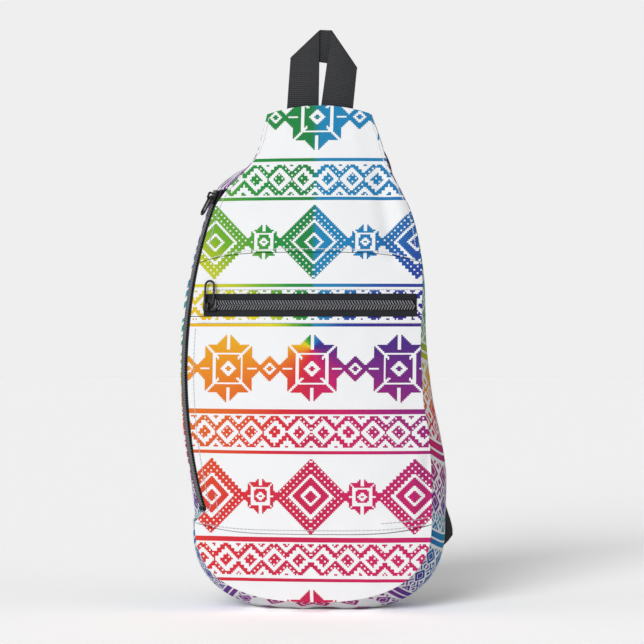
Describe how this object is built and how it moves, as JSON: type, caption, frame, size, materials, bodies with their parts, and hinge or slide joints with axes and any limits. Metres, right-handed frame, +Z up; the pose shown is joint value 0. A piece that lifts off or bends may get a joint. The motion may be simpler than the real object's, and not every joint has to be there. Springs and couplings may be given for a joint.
{
  "type": "sling bag",
  "caption": "Sling bag of printed fabric with a webbing handle, a zipped side opening, a zipped front pocket and a padded strap that adjusts in length.",
  "frame": {"origin": "on the floor, under the middle of the whole box", "axes": "+Z up along the bag's height, -Y out of the printed front, +X to the wearer-side strap foot, on the right as seen from the front"},
  "size_m": [0.2076, 0.0986, 0.4437],
  "materials": {
    "printed_fabric": "white woven polyester with a printed many-coloured stitch-like pattern",
    "gusset_fabric": "the same cloth with a finer print",
    "black_mesh": "matt black padded mesh",
    "black_webbing": "ribbed black webbing",
    "zip_tape": "matt black woven tape",
    "zip_coil": "black coil with a slight sheen",
    "black_metal": "black enamel, half gloss",
    "black_plastic": "black moulded plastic"
  },
  "bodies": {
    "bag": {"front_panel_upper": "printed_fabric", "pocket_header_panel": "printed_fabric", "front_pocket_panel": "printed_fabric", "front_base_panel": "printed_fabric", "right_gusset": "gusset_fabric", "left_gusset": "gusset_fabric", "bottom_gusset": "gusset_fabric", "top_gusset": "gusset_fabric", "back_panel": "black_mesh", "strap_pad": "black_mesh", "pocket_back_wall": "black_webbing", "top_handle": "black_webbing", "strap_webbing": "black_webbing", "strap_return": "black_webbing", "strap_ring_loop": "black_webbing", "strap_wing": "black_webbing", "main_zip_tape_front": "zip_tape", "main_zip_tape_back": "zip_tape", "pocket_zip_tape_lower": "zip_tape", "pocket_zip_tape_upper": "zip_tape", "main_zip_coil_front": "zip_coil", "main_zip_coil_back": "zip_coil", "pocket_zip_coil_lower": "zip_coil", "pocket_zip_coil_upper": "zip_coil", "strap_ring": "black_metal"},
    "main_slider": {"main_zip_slider": "black_metal"},
    "main_pull": {"main_zip_pull": "black_metal"},
    "pocket_slider": {"pocket_zip_slider": "black_metal"},
    "pocket_pull": {"pocket_zip_pull": "black_metal"},
    "adjuster": {"strap_adjuster": "black_plastic"}
  },
  "joints": [
    {"name": "main_zip_slide", "type": "hinge", "parent": "bag", "child": "main_slider", "pos_m": [0.2882, -0.0135, 0.1865], "axis": [0, -0.995, 0.0999], "range_deg": [0, 34.5]},
    {"name": "main_pull_swing", "type": "hinge", "parent": "main_slider", "child": "main_pull", "pos_m": [-0.07996, -0.00226, 0.316], "axis": [-0.4281, 0.9016, 0.0614], "range_deg": [0, 145]},
    {"name": "pocket_zip_slide", "type": "hinge", "parent": "bag", "child": "pocket_slider", "pos_m": [-0.0036, 0.20303, 0.2315], "axis": [0, 0, 1], "range_deg": [0, 36.9]},
    {"name": "pocket_pull_swing", "type": "hinge", "parent": "pocket_slider", "child": "pocket_pull", "pos_m": [-0.07763, -0.02831, 0.23004], "axis": [0.9524, -0.3048, 0], "range_deg": [0, 165]},
    {"name": "strap_adjust", "type": "slide", "parent": "bag", "child": "adjuster", "axis": [0.2132, 0.0589, -0.9752], "range_m": [0, 0.044], "deforming": ["strap_return"]}
  ]
}
